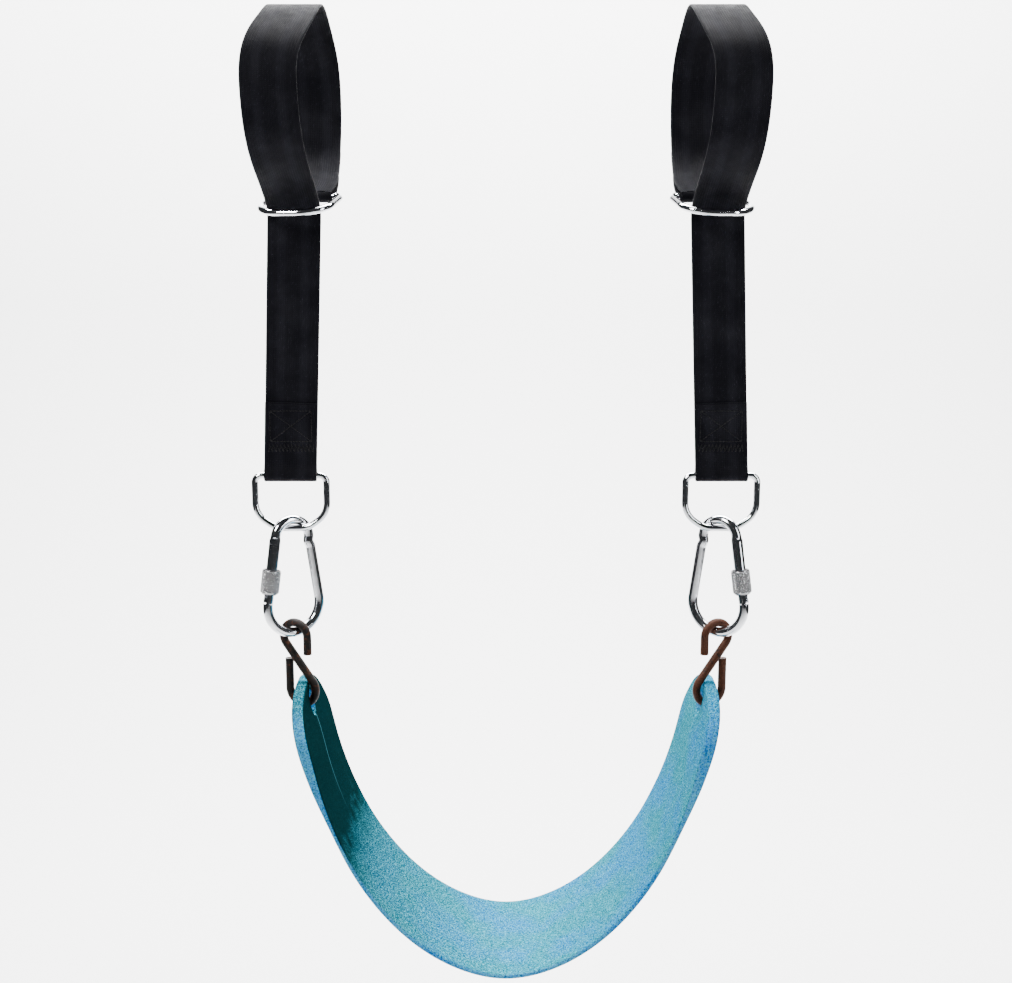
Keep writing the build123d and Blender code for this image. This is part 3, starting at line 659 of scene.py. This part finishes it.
def seat_finish():
    """Sky-blue moulded belt: salt-and-pepper grain, bluer patches, painted shade that darkens the inner
    face towards the left, painted light on the faces that look to the front or back, painted shade with
    some stain on the left wall's inner face, and a mould line with a painted highlight.
    """
    f = Finish("seat_skin")
    place = f.place.outputs["Object"]
    at = f.add("SeparateXYZ", {"Vector": place})
    facing = f.add("SeparateXYZ", {"Vector": f.add("NewGeometry").outputs["Normal"]})
    swirl = f.add("TexNoise", {"Vector": place, "Scale": 1000 / 4.5, "Detail": 5.0, "Roughness": 0.6,
                               "Distortion": 1.8}).outputs["Fac"]
    salt, pepper = f.noise(1.5, 3, 0.75), f.noise(1.9, 4, 0.75)
    patch = f.spread(f.noise(55, 4, 0.5), 0.42, 0.62)
    tone = f.mix(patch, rgb(0.001, 0.115, 0.16), rgb(0.001, 0.095, 0.26))
    # painted shade: the inner face darkens towards the left side
    tone = f.mix(f.spread(at.outputs["X"], 0.02, -0.13, 0, 0.85), tone, rgb(0.001, 0.034, 0.046))
    tone = f.mix(f.math("MULTIPLY", f.spread(swirl, 0.45, 0.7), 0.35), tone, rgb(0.006, 0.085, 0.1))
    # painted light: faces that look to the front or back, such as the front edge, are lighter blue
    rim = f.spread(f.math("ABSOLUTE", facing.outputs["Y"]), 0.5, 0.85)
    tone = f.mix(rim, tone, f.mix(patch, rgb(0.035, 0.22, 0.46), rgb(0.01, 0.13, 0.44)))
    tone = f.mix(f.math("MULTIPLY", f.spread(pepper, 0.48, 0.58), 0.75), tone, rgb(0.0005, 0.018, 0.03))
    tone = f.mix(f.math("MULTIPLY", f.spread(salt, 0.5, 0.6), 0.7), tone, rgb(0.07, 0.34, 0.42))

    # painted shade with some stain: the left wall's inner face is darkened nearly black-green, with a
    # ragged lower edge
    height_here = f.math("ADD", at.outputs["Z"], f.math("MULTIPLY", f.noise(14, 5), 0.06))
    shade_and_stain = f.math("MULTIPLY", f.spread(at.outputs["X"], -0.115, -0.15),
                   f.spread(height_here, -0.73, -0.66))
    shade_and_stain = f.math("MULTIPLY", shade_and_stain, f.spread(facing.outputs["X"], 0.2, 0.5))
    tone = f.mix(f.math("MULTIPLY", shade_and_stain, 0.96), tone, rgb(0.001, 0.0085, 0.009))

    # mould line that runs down the middle of the inner face from each slot: a real ridge in the bump,
    # and a painted highlight in its paler colour
    seam_and_highlight = f.math("MULTIPLY", f.spread(f.math("ABSOLUTE", at.outputs["Y"]), 0.0009, 0.0003),
                  f.spread(at.outputs["Z"], -0.69, -0.63))
    tone = f.mix(f.math("MULTIPLY", seam_and_highlight, 0.35), tone, rgb(0.09, 0.34, 0.42))
    height = f.math("ADD", f.math("MULTIPLY", swirl, 0.5), f.math("MULTIPLY", salt, 0.4))
    height = f.math("ADD", height, f.math("MULTIPLY", seam_and_highlight, 0.5))
    return f.surface(Base_Color=tone, Roughness=f.spread(swirl, 0.3, 0.7, 0.55, 0.7),
                     Normal=f.bump(height, 0.35, 0.8), Specular_IOR_Level=0.0)


def paint(objects, material):
    for obj in objects:
        obj.data.materials.clear()
        obj.data.materials.append(material)


# ---------------------------------------------------------------- the object
straps = [strap(s) for s in SIDES]
threads = [tail_sewing(s) for s in SIDES] + [loop_sewing(s) for s in SIDES]
belt = seat()
sleeves = [sleeve(s) for s in SIDES]

node = frame["nodes"]
chrome = plated_finish("ring_chrome", (0.78, 0.79, 0.82), 0.05, 0.12, 0.5)
zinc = plated_finish("carabiner_chrome", (0.72, 0.73, 0.76), 0.07, 0.15, 0.6)
knurled = plated_finish("sleeve_steel", (0.42, 0.42, 0.43), 0.2, 0.32, 0.5, 0.92)
steel = plated_finish("spring_steel", (0.5, 0.5, 0.52), 0.25, 0.4, 0.4)
paint(straps, webbing_finish())
paint(threads, thread_finish())
paint([belt], seat_finish())
paint(sleeves, knurled)
paint([node[f"{s}_{p}"] for s in SIDES for p in ("choke_ring", "d_ring")], chrome)
paint([node[f"{s}_{p}"] for s in SIDES for p in ("carabiner_body", "gate", "gate_rivet")], zinc)
paint([node[f"{s}_{p}"] for s in SIDES for p in ("gate_plunger", "gate_spring")], steel)
paint([node["right_s_hook"]], rust_finish("hook_rust", 1.0))
paint([node["left_s_hook"]], rust_finish("hook_dark", 0.35))


# ---------------------------------------------------------------- studio
def floor():
    """Pale floor that curves up into a backdrop."""
    front, low, back, bend, high, half = -5000, -1600, 3200, 1200, 4500, 2600
    profile = [(front, low)]
    profile += [(back - bend + bend * sin(a), low + bend - bend * cos(a))
                for a in np.linspace(0, pi / 2, 13)]
    profile.append((back, high))
    points = [(x, y, z) for y, z in profile for x in (-half, half)]
    faces = [(2 * i, 2 * i + 1, 2 * i + 3, 2 * i + 2) for i in range(len(profile) - 1)]
    obj = mesh_object("floor", points, faces)
    paint([obj], Finish("floor_pale").surface(Base_Color=rgb(0.8, 0.8, 0.8), Roughness=0.9))


def area_light(name, at, aim, size, power, colour=(1, 1, 1)):
    data = bpy.data.lights.new(name, "AREA")
    data.shape, data.size, data.size_y = "RECTANGLE", size[0], size[1]
    data.energy, data.color = power, colour
    obj = bpy.data.objects.new(name, data)
    obj.location = at
    obj.rotation_euler = (Vector(aim) - Vector(at)).to_track_quat("-Z", "Y").to_euler()
    bpy.context.scene.collection.objects.link(obj)


floor()
area_light("key", (-1.5, -1.6, 1.2), (0, 0, -0.45), (0.6, 0.9), 90, (1, 0.99, 0.97))
area_light("strip", (1.7, -1.1, 0.1), (0, 0, -0.5), (0.3, 1.6), 24, (0.95, 0.98, 1))
area_light("top", (0.1, 0.4, 1.8), (0, 0.2, -0.6), (1.2, 0.8), 60)
area_light("backdrop", (0, 1.1, 2.2), (0, 3.2, -0.7), (4.6, 1.0), 1150)
world = bpy.data.worlds.new("studio")
world.use_nodes = True
world.node_tree.nodes["Background"].inputs["Color"].default_value = rgb(0.86, 0.9, 0.95)
world.node_tree.nodes["Background"].inputs["Strength"].default_value = 0.045
bpy.context.scene.world = world

camera_data = bpy.data.cameras.new("camera")
camera_data.sensor_width = 36
camera_data.lens = 54.8
camera = bpy.data.objects.new("camera", camera_data)
camera.location = (0, -1.45, -0.091)
camera.rotation_euler = (radians(90 - 10.72), 0, 0)
bpy.context.scene.collection.objects.link(camera)
bpy.context.scene.camera = camera
